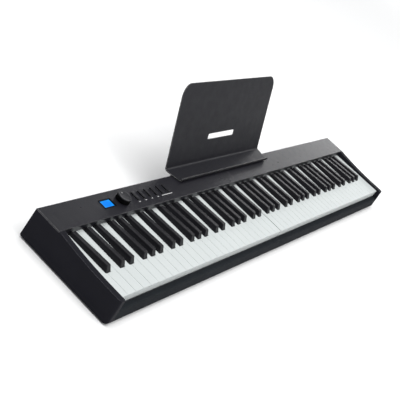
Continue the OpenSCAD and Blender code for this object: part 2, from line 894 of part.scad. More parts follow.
module power_switch() {
    x0 = switch_x - switch_slot_w / 2 + 0.5;
    x1 = x0 + switch_knob_w;
    half_h = switch_slot_h / 2;
    flange = 1.5;
    inner_y = case_d - wall;
    color("silver") placed() {
        block([x0, inner_y - flange, jack_panel_z - half_h + 0.3],
              [x1, case_d + 1.2, jack_panel_z + half_h - 0.3]);
        block([x0 - flange, inner_y - flange, jack_panel_z - half_h - 1],
              [x1 + flange, inner_y - 0.3, jack_panel_z + half_h + 1]);
    }
}

// Bent steel music rest: back plate, ledge, lip and the two tongues that drop into the sockets
module music_rest() {
    color("#3a3b3e") placed() {
        difference() {
            along_x(-rest_w / 2, rest_w / 2) rest_profile();
            rest_plane_cuts();
            for (e = [-1, 1]) {
                ledge_end_cut(e);
                lip_corner_cut(e);
            }
        }
        for (e = [-1, 1])
            block([e * tongue_x - tongue_w / 2, rest_bend_y, socket_top - tongue_l],
                  [e * tongue_x + tongue_w / 2, rest_bend_y + sheet_t, ledge_top + sheet_t / 2]);
    }
}

// Outline of the bent sheet, from the lip along the ledge and up the back plate
module rest_profile() {
    lip_y = rest_bend_y - ledge_d;
    lip_z = ledge_under + lip_h;
    bend_y = rest_bend_y - bend_r * (1 - sin(rest_tilt)) / cos(rest_tilt);
    bend_z = ledge_top + bend_r;
    plate_top_y = rest_bend_y + rest_h * sin(rest_tilt);
    plate_top_z = ledge_top + rest_h * cos(rest_tilt);
    lip_bend_y = lip_y + sheet_t + lip_bend_r;
    lip_bend_z = ledge_top + lip_bend_r;
    polygon(concat(
        [[lip_y, lip_z]],
        arc(lip_bend_y, lip_bend_z, lip_bend_r + sheet_t, 180, 270),
        arc(bend_y, bend_z, bend_r + sheet_t, -90, -rest_tilt),
        [[plate_top_y + sheet_t * cos(rest_tilt), plate_top_z - sheet_t * sin(rest_tilt)]],
        [[plate_top_y, plate_top_z]],
        arc(bend_y, bend_z, bend_r, -rest_tilt, -90),
        arc(lip_bend_y, lip_bend_z, lip_bend_r, 270, 180),
        [[lip_y + sheet_t, lip_z]]
    ));
}

// The slot and the round upper corners, cut square to the back plate
module rest_plane_cuts() {
    r = rest_corner_r;
    half = rest_w / 2;
    translate([0, rest_bend_y, ledge_top])
        rotate([90 - rest_tilt, 0, 0])
            translate([0, 0, -sheet_t - 1])
                linear_extrude(height = sheet_t + 2) {
                    translate([0, rest_slot_up + rest_slot_h / 2])
                        round_rect(rest_slot_w, rest_slot_h, rest_slot_r);
                    for (e = [0, 1])
                        mirror([e, 0])
                            difference() {
                                translate([half - r, rest_h - r]) square([r + 1, r + 1]);
                                translate([half - r, rest_h - r]) circle(r = r, $fn = 96);
                            }
                }
}

// The ledge narrows towards its lip
module ledge_end_cut(e) {
    half = rest_w / 2;
    translate([0, rest_bend_y, ledge_under - 1])
        linear_extrude(height = lip_h + 3)
            polygon([[e * half, -bend_r - 1], [e * (half + 1), -bend_r - 1],
                     [e * (half + 1), -ledge_d - 1], [e * (half - ledge_taper), -ledge_d - 1],
                     [e * (half - ledge_taper), -ledge_d + sheet_t]]);
}

module lip_corner_cut(e) {
    r = lip_corner_r;
    x = rest_w / 2 - ledge_taper - r;
    translate([0, rest_bend_y - ledge_d + sheet_t + 1, ledge_under + lip_h - r])
        rotate([90, 0, 0])
            linear_extrude(height = sheet_t + 2)
                difference() {
                    translate([e * x - (e < 0 ? r + 1 : 0), 0]) square([r + 1, r + 1]);
                    translate([e * x, 0]) circle(r = r);
                }
}

// Nodes ---------------------------------------------------------------------------------------

module left_bottom_case() { color("#1c1c20") bottom_case(-1); }
module left_front_rail() { color("#2b2d33") front_rail(-1); }
module left_end_cheek() { color("#1c1c20") end_cheek(-1); }
module left_top_deck() { color("#37363b") top_deck(-1); }
module left_feet() { color("#151515") feet(-1); }
module left_case_screws() { color("silver") case_screws(-1); }
module left_hinge_leaf() { color("gray") hinge_leaf(-1); }
module left_seam_connector() { color("goldenrod") seam_connector(-1); }
module left_pivot_rod() { color("silver") pivot_rod(-1); }
module left_contact_board() { color("darkgreen") contact_board(-1); }
module left_speaker() { color("#303030") speaker(-1); }
module right_bottom_case() { color("#1c1c20") bottom_case(1); }
module right_front_rail() { color("#2b2d33") front_rail(1); }
module right_end_cheek() { color("#1c1c20") end_cheek(1); }
module right_top_deck() { color("#37363b") top_deck(1); }
module right_feet() { color("#151515") feet(1); }
module right_case_screws() { color("silver") case_screws(1); }
module right_hinge_leaf() { color("gray") hinge_leaf(1); }
module right_seam_connector() { color("goldenrod") seam_connector(1); }
module right_pivot_rod() { color("silver") pivot_rod(1); }
module right_contact_board() { color("darkgreen") contact_board(1); }
module right_speaker() { color("#303030") speaker(1); }

left_bottom_case();
left_front_rail();
left_end_cheek();
left_top_deck();
left_feet();
left_case_screws();
key_frame(-1);  // left_key_frame
left_pivot_rod();
left_contact_board();
contact_strip(-1);  // left_contact_strip
left_speaker();
left_hinge_leaf();
left_seam_connector();
right_bottom_case();
right_front_rail();
right_end_cheek();
right_top_deck();
right_feet();
right_case_screws();
key_frame(1);  // right_key_frame
right_pivot_rod();
right_contact_board();
contact_strip(1);  // right_contact_strip
right_speaker();
right_hinge_leaf();
right_seam_connector();
main_board();
battery_pack();
display_bezel();
display_lens();
control_board();
jack_panel();
hinge_spine();
hinge_pins();
music_rest();
dial_knob();
dial_shaft();
power_switch();
push_button(0);  // button_1
push_button(1);  // button_2
push_button(2);  // button_3
push_button(3);  // button_4
push_button(4);  // button_5
push_button(5);  // button_6
naturals(0, c4 - 1);  // left_naturals
sharps(0, c4 - 1);  // left_sharps
naturals(b4 + 1, natural_count - 1);  // right_naturals
sharps(b4, natural_count - 1);  // right_sharps
naturals(c4, c4);  // key_c4
sharps(c4, c4);  // key_c_sharp_4
naturals(d4, d4);  // key_d4
sharps(d4, d4);  // key_d_sharp_4
naturals(e4, e4);  // key_e4
naturals(f4, f4);  // key_f4
sharps(f4, f4);  // key_f_sharp_4
naturals(g4, g4);  // key_g4
sharps(g4, g4);  // key_g_sharp_4
naturals(a4, a4);  // key_a4
sharps(a4, a4);  // key_a_sharp_4
naturals(b4, b4);  // key_b4
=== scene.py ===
"""Looks of a folding digital piano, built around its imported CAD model.

Metres, in the CAD frame: +X runs to the treble end, +Y to the rear, +Z up, Z = 0 under the feet.
Positions come from the CAD nodes' boxes; the case mouldings and the music rest are the CAD nodes
themselves, rounded by modifiers, and the keys, dial, buttons, display and trim are built here.
"""
import json
import math

import bmesh
import bpy
from mathutils import Matrix, Vector


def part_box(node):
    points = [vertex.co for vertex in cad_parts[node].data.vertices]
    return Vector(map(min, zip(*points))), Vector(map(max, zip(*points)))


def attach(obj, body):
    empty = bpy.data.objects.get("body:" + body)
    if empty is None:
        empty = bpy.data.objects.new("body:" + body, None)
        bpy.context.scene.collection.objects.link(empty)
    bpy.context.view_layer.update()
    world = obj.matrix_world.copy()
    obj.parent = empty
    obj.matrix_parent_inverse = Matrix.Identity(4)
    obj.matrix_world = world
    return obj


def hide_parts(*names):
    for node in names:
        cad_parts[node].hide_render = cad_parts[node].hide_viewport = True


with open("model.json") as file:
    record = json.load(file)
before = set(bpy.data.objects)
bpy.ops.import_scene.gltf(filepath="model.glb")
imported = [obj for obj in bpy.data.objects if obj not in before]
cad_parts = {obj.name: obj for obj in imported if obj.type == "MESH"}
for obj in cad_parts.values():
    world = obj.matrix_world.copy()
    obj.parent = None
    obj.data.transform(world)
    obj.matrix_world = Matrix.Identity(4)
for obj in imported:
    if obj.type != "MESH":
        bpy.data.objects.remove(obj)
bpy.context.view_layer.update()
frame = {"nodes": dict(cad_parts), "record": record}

MM = 0.001

# Sizes read from the frame --------------------------------------------------------------------

CHEEK_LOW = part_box("right_end_cheek")[0]
DECK_LOW, DECK_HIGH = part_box("left_top_deck")
C_SHARP_LOW, C_SHARP_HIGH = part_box("key_c_sharp_4")
A_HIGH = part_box("key_a4")[1]
B_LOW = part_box("key_b4")[0]
E_LOW, E_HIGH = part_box("key_e4")
F_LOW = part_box("key_f4")[0]

NATURAL_COUNT = 52
SEAM_INDEX = 26
BUTTON_COUNT = 6
HALF_W = CHEEK_LOW.x
PITCH = HALF_W / SEAM_INDEX
KEY_TOP = E_HIGH.z
KEY_FRONT = E_LOW.y
KEY_REAR = E_HIGH.y
KEY_FRONT_BOTTOM = E_LOW.z
NATURAL_BOTTOM = KEY_TOP - 14 * MM
NATURAL_WALL = 1.5 * MM
NATURAL_SKIN = 2.5 * MM
NATURAL_LIP = 2.2 * MM
LIP_OVERHANG = 0.45 * MM
LIP_UNDERCUT = 0.35 * MM
NATURAL_EDGE_R = 0.22 * MM
SEAM_KEY_EDGE = F_LOW.x
KEY_GAP = B_LOW.x - A_HIGH.x
SHARP_TOP = C_SHARP_HIGH.z
SHARP_FOOT_W = C_SHARP_HIGH.x - C_SHARP_LOW.x
SHARP_TOP_W = 9.8 * MM
SHARP_FRONT = C_SHARP_LOW.y
SHARP_SLOPE = 6 * MM
SHARP_DROP = 4 * MM
SHARP_CLEAR = 1 * MM
SHARP_REAR_GAP = 3 * MM
SHARP_EDGE_R = 0.9 * MM
CASE_TOP = DECK_HIGH.z
DECK_FRONT = DECK_LOW.y

# Octave layout, counted from C: which naturals have a sharp on their right, and where it sits
HAS_SHARP = [True, True, False, True, True, True, False]
SHARP_SHIFT = [-0.10, 0.10, 0.0, -0.13, 0.0, 0.13, 0.0]
FIRST_NOTE = 5
SINGLE_NATURALS = {23: "key_c4", 24: "key_d4", 25: "key_e4", 26: "key_f4", 27: "key_g4",
                   28: "key_a4", 29: "key_b4"}
SINGLE_SHARPS = {23: "key_c_sharp_4", 24: "key_d_sharp_4", 26: "key_f_sharp_4",
                 27: "key_g_sharp_4", 28: "key_a_sharp_4"}

BODY_OF = {n: b for b, members in frame["record"]["behaviour"]["bodies"].items() for n in members}


# Camera ---------------------------------------------------------------------------------------

def add_camera():
    """A camera at the viewing angle of the photograph: in front of the left end, looking down."""
    azimuth, elevation, roll = (math.radians(a) for a in (-72.635, 24.913, 36.719))
    place = Vector((-1.866847, -0.535273, 0.878033))
    back = Vector((math.sin(azimuth) * math.cos(elevation),
                   -math.cos(azimuth) * math.cos(elevation),
                   math.sin(elevation)))
    level_right = (-back).cross(Vector((0, 0, 1))).normalized()
    level_up = level_right.cross(-back)
    right = math.cos(roll) * level_right + math.sin(roll) * level_up
    up = math.cos(roll) * level_up - math.sin(roll) * level_right
    data = bpy.data.cameras.new("camera")
    data.lens = 89.558
    data.sensor_width = 36.0
    data.clip_end = 60.0
    camera = bpy.data.objects.new("camera", data)
    camera.matrix_world = Matrix((
        (right.x, up.x, back.x, place.x),
        (right.y, up.y, back.y, place.y),
        (right.z, up.z, back.z, place.z),
        (0, 0, 0, 1)))
    bpy.context.scene.collection.objects.link(camera)
    bpy.context.scene.camera = camera


add_camera()


# Materials ------------------------------------------------------------------------------------

class Shader:
    """A node material in the making. Textures use object coordinates, which are metres."""

    def __init__(self, name):
        self.material = bpy.data.materials.new(name)
        self.material.use_nodes = True
        self.tree = self.material.node_tree
        self.bsdf = self.tree.nodes["Principled BSDF"]
        self.coordinates = self.tree.nodes.new("ShaderNodeTexCoord")

    def node(self, kind, **settings):
        made = self.tree.nodes.new(kind)
        for key, value in settings.items():
            setattr(made, key, value)
        return made

    def link(self, source, target):
        self.tree.links.new(source, target)

    def noise(self, scale, detail=3.0, roughness=0.5, stretch=(1, 1, 1)):
        """Noise of `scale` features per metre, drawn out along the axes with a small stretch."""
        mapping = self.node("ShaderNodeMapping")
        mapping.inputs["Scale"].default_value = stretch
        made = self.node("ShaderNodeTexNoise")
        made.inputs["Scale"].default_value = scale
        made.inputs["Detail"].default_value = detail
        made.inputs["Roughness"].default_value = roughness
        self.link(self.coordinates.outputs["Object"], mapping.inputs["Vector"])
        self.link(mapping.outputs["Vector"], made.inputs["Vector"])
        return made.outputs["Fac"]

    def spread(self, source, low, high, start=0.3, end=0.7):
        """Maps source from start..end to low..high."""
        made = self.node("ShaderNodeMapRange")
        made.inputs["From Min"].default_value = start
        made.inputs["From Max"].default_value = end
        made.inputs["To Min"].default_value = low
        made.inputs["To Max"].default_value = high
        self.link(source, made.inputs["Value"])
        return made.outputs["Result"]

    def mix(self, factor, first, second):
        """Mixes two colours by factor. Each may be a colour or the output of a node."""
        made = self.node("ShaderNodeMix", data_type="RGBA")
        self.link(factor, made.inputs["Factor"])
        for value, socket in ((first, made.inputs[6]), (second, made.inputs[7])):
            if isinstance(value, tuple):
                socket.default_value = (*value, 1)
            else:
                self.link(value, socket)
        return made.outputs[2]

    def edges(self, radius):
        """A mask that rises to 1 on edges that turn within the radius, broken up by noise."""
        rounded = self.node("ShaderNodeBevel", samples=4)
        rounded.inputs["Radius"].default_value = radius
        geometry = self.node("ShaderNodeNewGeometry")
        dot = self.node("ShaderNodeVectorMath", operation="DOT_PRODUCT")
        self.link(rounded.outputs["Normal"], dot.inputs[0])
        self.link(geometry.outputs["True Normal"], dot.inputs[1])
        turned = self.spread(dot.outputs["Value"], 1.0, 0.0, 0.90, 0.999)
        broken = self.node("ShaderNodeMath", operation="MULTIPLY")
        self.link(turned, broken.inputs[0])
        self.link(self.spread(self.noise(180, 4), 0.35, 1.0), broken.inputs[1])
        return broken.outputs["Value"]

    def bump(self, source, depth, strength=1.0, under=None):
        made = self.node("ShaderNodeBump")
        made.inputs["Strength"].default_value = strength
        made.inputs["Distance"].default_value = depth
        self.link(source, made.inputs["Height"])
        if under is not None:
            self.link(under, made.inputs["Normal"])
        return made.outputs["Normal"]


def surface(name, colour, second, roughness, *, metallic=0.0, specular=0.5, patch=9.0,
            grain=1800.0, grain_depth=0.02, spread=0.05, wear_and_highlight=None, wear_and_highlight_radius=0.6, waves=None,
            coat=0.0, stretch=(1, 1, 1)):
    """A moulded, cast, rolled or painted surface.

    colour drifts to second in patches, of which there are `patch` to the metre. grain is the
    count of grains to the metre, and grain_depth their depth in millimetres. wear_and_highlight
    is the colour of the edges, lighter than the surface: partly wear, partly a painted highlight.
    waves is the depth in millimetres of the slow unevenness that reflections show.
    """
    s = Shader(name)
    drift = s.spread(s.noise(patch, 4, 0.6, stretch), 0.0, 1.0)
    fine = s.noise(grain, 2, 0.5, stretch)
    shade = s.mix(drift, colour, second)
    speckle = s.node("ShaderNodeMix", data_type="RGBA", blend_type="MULTIPLY")
    speckle.inputs["Factor"].default_value = 0.35
    s.link(shade, speckle.inputs[6])
    s.link(s.spread(fine, 0.72, 1.2), speckle.inputs[7])
    shade = speckle.outputs[2]
    # Edges lighter than the surface: partly wear, partly a painted highlight along the edges.
    if wear_and_highlight is not None:
        shade = s.mix(s.edges(wear_and_highlight_radius * MM), shade, wear_and_highlight)
    s.link(shade, s.bsdf.inputs["Base Color"])
    s.link(s.spread(s.noise(patch * 7, 5, 0.6, stretch), roughness - spread, roughness + spread),
           s.bsdf.inputs["Roughness"])
    normal = None
    if waves is not None:
        normal = s.bump(s.noise(14, 2, 0.4), waves * MM)
    normal = s.bump(fine, grain_depth * MM, 1.0, normal)
    s.link(normal, s.bsdf.inputs["Normal"])
    s.bsdf.inputs["Metallic"].default_value = metallic
    s.bsdf.inputs["Specular IOR Level"].default_value = specular
    s.bsdf.inputs["Coat Weight"].default_value = coat
    s.bsdf.inputs["Coat Roughness"].default_value = 0.12
    return s.material


def screen_material():
    """Backlit blue liquid crystal: lighter round its rim, with faint columns of pixels."""
    s = Shader("display_screen")
    low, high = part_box("display_lens")
    centre = (low + high) / 2
    mapping = s.node("ShaderNodeMapping")
    mapping.inputs["Location"].default_value = (-centre.x, -centre.y, 0)
    s.link(s.coordinates.outputs["Object"], mapping.inputs["Vector"])
    distance = s.node("ShaderNodeVectorMath", operation="LENGTH")
    flat = s.node("ShaderNodeVectorMath", operation="MULTIPLY")
    flat.inputs[1].default_value = (2 / (high.x - low.x), 2 / (high.y - low.y), 0)
    s.link(mapping.outputs["Vector"], flat.inputs[0])
    s.link(flat.outputs["Vector"], distance.inputs[0])
    rim = s.spread(distance.outputs["Value"], 0.0, 1.0, 0.55, 1.35)
    glow = s.mix(rim, (0.001, 0.225, 0.95), (0.02, 0.38, 1.0))
    pixels = s.node("ShaderNodeTexWave", bands_direction="X")
    pixels.inputs["Scale"].default_value = 420
    s.link(s.coordinates.outputs["Object"], pixels.inputs["Vector"])
    dimmed = s.mix(s.spread(pixels.outputs["Fac"], 0.0, 0.10, 0.0, 1.0), glow, (0.0, 0.12, 0.6))
    s.link(dimmed, s.bsdf.inputs["Emission Color"])
    s.bsdf.inputs["Emission Strength"].default_value = 1.0
    s.bsdf.inputs["Base Color"].default_value = (0.0, 0.02, 0.08, 1)
    s.link(s.spread(s.noise(60, 3), 0.06, 0.16), s.bsdf.inputs["Roughness"])
    s.bsdf.inputs["Specular IOR Level"].default_value = 0.25
    return s.material


def grey(value, warmth=0.0, coolness=0.0):
    """A grey with its red raised by the share warmth, and its blue by the share coolness."""
    return (value * (1 + warmth), value, value * (1 + coolness))


# The edge colours here are lighter than their surfaces: a painted highlight along the edges, partly
# wear.
LOOKS = {
    "case_plastic": dict(
        colour=grey(0.0145, 0, 0.3), second=grey(0.0125, 0, 0.3), roughness=0.5, specular=0.025,
        grain=2200, grain_depth=0.03, wear_and_highlight=grey(0.17, 0, 0.1), wear_and_highlight_radius=0.7, waves=0.05),
    "rail_plastic": dict(
        colour=grey(0.021, -0.12, 0.15), second=grey(0.017, -0.12, 0.15), roughness=0.55,
        specular=0.008, grain=2200, grain_depth=0.03, wear_and_highlight=grey(0.13, 0, 0.1), wear_and_highlight_radius=0.8,
        waves=0.05),
    "deck_plastic": dict(
        colour=grey(0.012, 0.03, 0.35), second=grey(0.010, 0.03, 0.35), roughness=0.32,
        specular=0.36, grain=2600, grain_depth=0.035, wear_and_highlight=grey(0.25), wear_and_highlight_radius=0.9,
        waves=0.03),
    "natural_plastic": dict(
        colour=(0.573, 0.605, 0.601), second=(0.552, 0.584, 0.58), roughness=0.36, specular=0.09,
        patch=16, grain=1400, grain_depth=0.004, spread=0.05, waves=0.02),
    "sharp_plastic": dict(
        colour=grey(0.0075, 0.04, 0.3), second=grey(0.0095, 0.04, 0.3), roughness=0.40,
        specular=0.24, patch=30, grain=2400, grain_depth=0.03, wear_and_highlight=grey(0.05), wear_and_highlight_radius=0.5),
    "foot_rubber": dict(
        colour=grey(0.012), second=grey(0.018), roughness=0.8, specular=0.25, grain=1500,
        grain_depth=0.06),
    "silicone": dict(
        colour=(0.55, 0.56, 0.55), second=(0.48, 0.49, 0.48), roughness=0.55, grain=900,
        grain_depth=0.03),
    "screw_steel": dict(
        colour=grey(0.20), second=grey(0.26), roughness=0.34, metallic=1.0, patch=200,
        grain=3000, grain_depth=0.01),
    "bright_steel": dict(
        colour=grey(0.55), second=grey(0.48), roughness=0.25, metallic=1.0, patch=60, grain=2500,
        grain_depth=0.006, stretch=(1, 1, 0.1)),
    "hinge_steel": dict(
        colour=grey(0.10), second=grey(0.075), roughness=0.38, metallic=0.85, patch=40,
        grain=1600, grain_depth=0.02, wear_and_highlight=grey(0.4), wear_and_highlight_radius=0.4),
    "frame_plastic": dict(
        colour=grey(0.05), second=grey(0.04), roughness=0.55, grain=1800, grain_depth=0.03),
    "circuit_board": dict(
        colour=(0.008, 0.07, 0.02), second=(0.006, 0.05, 0.016), roughness=0.36, patch=120,
        grain=700, grain_depth=0.02),
    "speaker_metal": dict(
        colour=grey(0.05), second=grey(0.035), roughness=0.5, metallic=0.5, grain=1500,
        grain_depth=0.03),
    "contact_housing": dict(
        colour=(0.75, 0.5, 0.12), second=(0.6, 0.4, 0.1), roughness=0.35, metallic=0.4,
        grain=1500),
    "battery_wrap": dict(
        colour=(0.02, 0.10, 0.35), second=(0.02, 0.08, 0.28), roughness=0.35, grain=900,
        coat=0.4),
    "bezel_plastic": dict(
        colour=grey(0.003), second=grey(0.004), roughness=0.34, specular=0.08, patch=60,
        grain=2000, grain_depth=0.006, wear_and_highlight=grey(0.02), wear_and_highlight_radius=0.3),
    "rest_paint": dict(
        colour=grey(0.0105, 0, 0.3), second=grey(0.0125, 0, 0.3), roughness=0.44, specular=0.2,
        patch=7, grain=1100, grain_depth=0.04, wear_and_highlight=grey(0.35), wear_and_highlight_radius=1.0, waves=0.05),
    "dial_plastic": dict(
        colour=grey(0.010, 0, 0.3), second=grey(0.012, 0, 0.3), roughness=0.38, specular=0.3,
        patch=120, grain=2400, grain_depth=0.03, wear_and_highlight=grey(0.10), wear_and_highlight_radius=0.3),
    # The grip is coloured darker than the cap: painted shade on the dial's side.
    "dial_grip_painted_shade": dict(
        colour=grey(0.0025), second=grey(0.004), roughness=0.65, specular=0.05, patch=120,
        grain=2400),
    "switch_plastic": dict(
        colour=grey(0.04), second=grey(0.05), roughness=0.4, patch=200, grain=2500),
    "button_rubber": dict(
        colour=grey(0.009, 0, 0.3), second=grey(0.011, 0, 0.3), roughness=0.44, specular=0.25,
        patch=140, grain=2400, grain_depth=0.03, wear_and_highlight=grey(0.045), wear_and_highlight_radius=0.3),
    "label_paint": dict(
        colour=grey(0.60), second=grey(0.48), roughness=0.55, patch=300, grain=2500),
}

MATERIALS = {name: surface(name, **look) for name, look in LOOKS.items()}
MATERIALS["display_glass"] = screen_material()


# Mesh helpers ---------------------------------------------------------------------------------

def piece(name, bm, material, body, replaces=()):
    """Makes an object of bm, smooth with sharp edges kept, that rides on the body."""
    bmesh.ops.recalc_face_normals(bm, faces=bm.faces)
    mesh = bpy.data.meshes.new(name)
    bm.to_mesh(mesh)
    bm.free()
    mesh.materials.append(MATERIALS[material])
    mesh.polygons.foreach_set("use_smooth", [True] * len(mesh.polygons))
    mesh.set_sharp_from_angle(angle=math.radians(50))
    made = bpy.data.objects.new(name, mesh)
    bpy.context.scene.collection.objects.link(made)
    shading = made.modifiers.new("even shading", "WEIGHTED_NORMAL")
    shading.keep_sharp = True
    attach(made, body)
    if replaces:
        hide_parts(*replaces)
    return made


def skin(bm, loops, cap_first=True, cap_last=True):
    """Faces between consecutive loops of points, each with the same count, and caps on the ends."""
    rings = [[bm.verts.new(p) for p in loop] for loop in loops]
    count = len(rings[0])
    for lower, upper in zip(rings, rings[1:]):
        for k in range(count):
            nxt = (k + 1) % count
            bm.faces.new((lower[k], lower[nxt], upper[nxt], upper[k]))
    if cap_first:
        bm.faces.new(rings[0])
    if cap_last:
        bm.faces.new(rings[-1])
    return rings


def round_edges(bm, edges, radius, segments=3):
    bmesh.ops.bevel(bm, geom=list(edges), offset=radius, segments=segments, profile=0.5,
                    affect="EDGES", clamp_overlap=False)


def ring_edges(ring):
    """The edges between neighbouring vertices of a ring."""
    found = set()
    for here, after in zip(ring, ring[1:] + ring[:1]):
        for edge in here.link_edges:
            if edge.other_vert(here) is after:
                found.add(edge)
    return found


def edge_between(first, second):
    return next(e for e in first.link_edges if e.other_vert(first) is second)


def rectangle(x0, x1, y0, y1, z):
    return [Vector((x0, y0, z)), Vector((x1, y0, z)), Vector((x1, y1, z)), Vector((x0, y1, z))]


def rounded_loop(cx, cy, width, depth, radius, z, steps=6):
    """A rectangle with round corners, as a loop of points at height z."""
    points = []
    for sx, sy, start in ((1, -1, -90), (1, 1, 0), (-1, 1, 90), (-1, -1, 180)):
        for k in range(steps + 1):
            a = math.radians(start + 90 * k / steps)
            points.append(Vector((cx + sx * (width / 2 - radius) + radius * math.cos(a),
                                  cy + sy * (depth / 2 - radius) + radius * math.sin(a), z)))
    return points


def raised(loop, height):
    """The loop moved up by height."""
    return [p + Vector((0, 0, height)) for p in loop]


def circle_loop(centre, axis, radius, along, count=48):
    """A circle about the axis, at a distance `along` it from the centre."""
    axis = Vector(axis).normalized()
    side = axis.orthogonal().normalized()
    other = axis.cross(side)
    return [centre + axis * along
            + side * radius * math.cos(2 * math.pi * k / count)
            + other * radius * math.sin(2 * math.pi * k / count) for k in range(count)]


# Keys -----------------------------------------------------------------------------------------

def note(i):
    return (i + FIRST_NOTE) % 7


def has_sharp(i):
    return 0 <= i < NATURAL_COUNT - 1 and HAS_SHARP[note(i)]


def boundary_x(i):
    return (i - SEAM_INDEX) * PITCH


def sharp_x(i):
    return boundary_x(i + 1) + SHARP_SHIFT[note(i)] * PITCH


def key_node(i, singles, group):
    """The CAD node that holds key i: one of the single keys, or its half's group."""
    half = "left" if i < SEAM_INDEX else "right"
    return singles.get(i, f"{half}_{group}")


def inset(outline, distance):
    """Moves every side of a rectilinear outline, listed anticlockwise, inwards by distance."""
    moved = []
    count = len(outline)
    for k, here in enumerate(outline):
        before = (here - outline[k - 1]).normalized()
        after = (outline[(k + 1) % count] - here).normalized()
        inwards = Vector((-before.y, before.x)) + Vector((-after.y, after.x))
        moved.append(here + distance * inwards)
    return moved


def natural_outline(i):
    """The outline of natural key i from above, anticlockwise from its front left corner."""
    head_left = SEAM_KEY_EDGE if i == SEAM_INDEX else boundary_x(i) + KEY_GAP / 2
    head_right = -SEAM_KEY_EDGE if i == SEAM_INDEX - 1 else boundary_x(i + 1) - KEY_GAP / 2
    clear = SHARP_FOOT_W / 2 + SHARP_CLEAR
    tail_left = sharp_x(i - 1) + clear if has_sharp(i - 1) else head_left
    tail_right = sharp_x(i) - clear if has_sharp(i) else head_right
    shoulder = SHARP_FRONT - SHARP_CLEAR
    points = [(head_left, KEY_FRONT), (head_right, KEY_FRONT)]
    if tail_right < head_right:
        points += [(head_right, shoulder), (tail_right, shoulder)]
    points += [(tail_right, KEY_REAR), (tail_left, KEY_REAR)]
    if tail_left > head_left:
        points += [(tail_left, shoulder), (head_left, shoulder)]
    return [Vector(p) for p in points]


def natural_key(i):
    """A white key: a top plate whose lip stands over the front, on a hollow skirt."""
    outline = natural_outline(i)
    inner = inset(outline, NATURAL_WALL)
    middle = (KEY_FRONT + SHARP_FRONT) / 2

    def level(points, z, front_z=None, shift=0.0):
        front_z = z if front_z is None else front_z
        return [Vector((p.x, p.y + (shift if p.y < middle else 0), front_z if p.y < middle else z))
                for p in points]

    bm = bmesh.new()
    rings = skin(bm, [
        level(outline, KEY_TOP),
        level(outline, KEY_TOP - NATURAL_LIP),
        level(outline, KEY_TOP - NATURAL_LIP - LIP_UNDERCUT, shift=LIP_OVERHANG),
        level(outline, NATURAL_BOTTOM, KEY_FRONT_BOTTOM, LIP_OVERHANG),
        level(inner, NATURAL_BOTTOM, KEY_FRONT_BOTTOM),
        level(inner, KEY_TOP - NATURAL_SKIN),
    ])
    top, lip, under, skirt = rings[:4]
    soft = ring_edges(top)
    for corner in (0, 1):
        soft |= {edge_between(top[corner], lip[corner]), edge_between(lip[corner], under[corner]),
                 edge_between(under[corner], skirt[corner])}
    round_edges(bm, soft, NATURAL_EDGE_R)
    node = key_node(i, SINGLE_NATURALS, "naturals")
    piece(f"natural_{i + 1:02d}", bm, "natural_plastic", BODY_OF[node], [node])


def sharp_key(i):
    """A black key: sides that lean in, a sloped front and a soft top edge, on a narrower body."""
    x = sharp_x(i)
    foot = SHARP_FOOT_W / 2
    top = SHARP_TOP_W / 2
    rear = DECK_FRONT - SHARP_REAR_GAP
    foot_z = KEY_TOP - 1 * MM
    body_half = foot - 0.5 * MM
    body_front = SHARP_FRONT + 1 * MM
    body_low = NATURAL_BOTTOM + 0.7 * MM
    body_high = KEY_TOP - 0.02 * MM
    bm = bmesh.new()
    rings = skin(bm, [
        rectangle(x - foot, x + foot, SHARP_FRONT, rear, foot_z),
        rectangle(x - foot, x + foot, SHARP_FRONT, rear, KEY_TOP + 0.4 * MM),
        rectangle(x - top, x + top, SHARP_FRONT + SHARP_SLOPE, rear, SHARP_TOP),
    ])
    for corner in rings[2][2:]:
        corner.co.z -= SHARP_DROP
    front_edges = {edge_between(rings[1][k], rings[2][k]) for k in (0, 1)}
    round_edges(bm, ring_edges(rings[2]) | front_edges, SHARP_EDGE_R, 4)
    skin(bm, [
        rectangle(x - body_half, x + body_half, body_front, KEY_REAR, body_low),
        rectangle(x - body_half, x + body_half, body_front, KEY_REAR, body_high),
    ])
    node = key_node(i, SINGLE_SHARPS, "sharps")
    piece(f"sharp_{i + 1:02d}", bm, "sharp_plastic", BODY_OF[node], [node])


for key in range(NATURAL_COUNT):
    natural_key(key)
    if has_sharp(key):
        sharp_key(key)


# Controls on the left deck --------------------------------------------------------------------

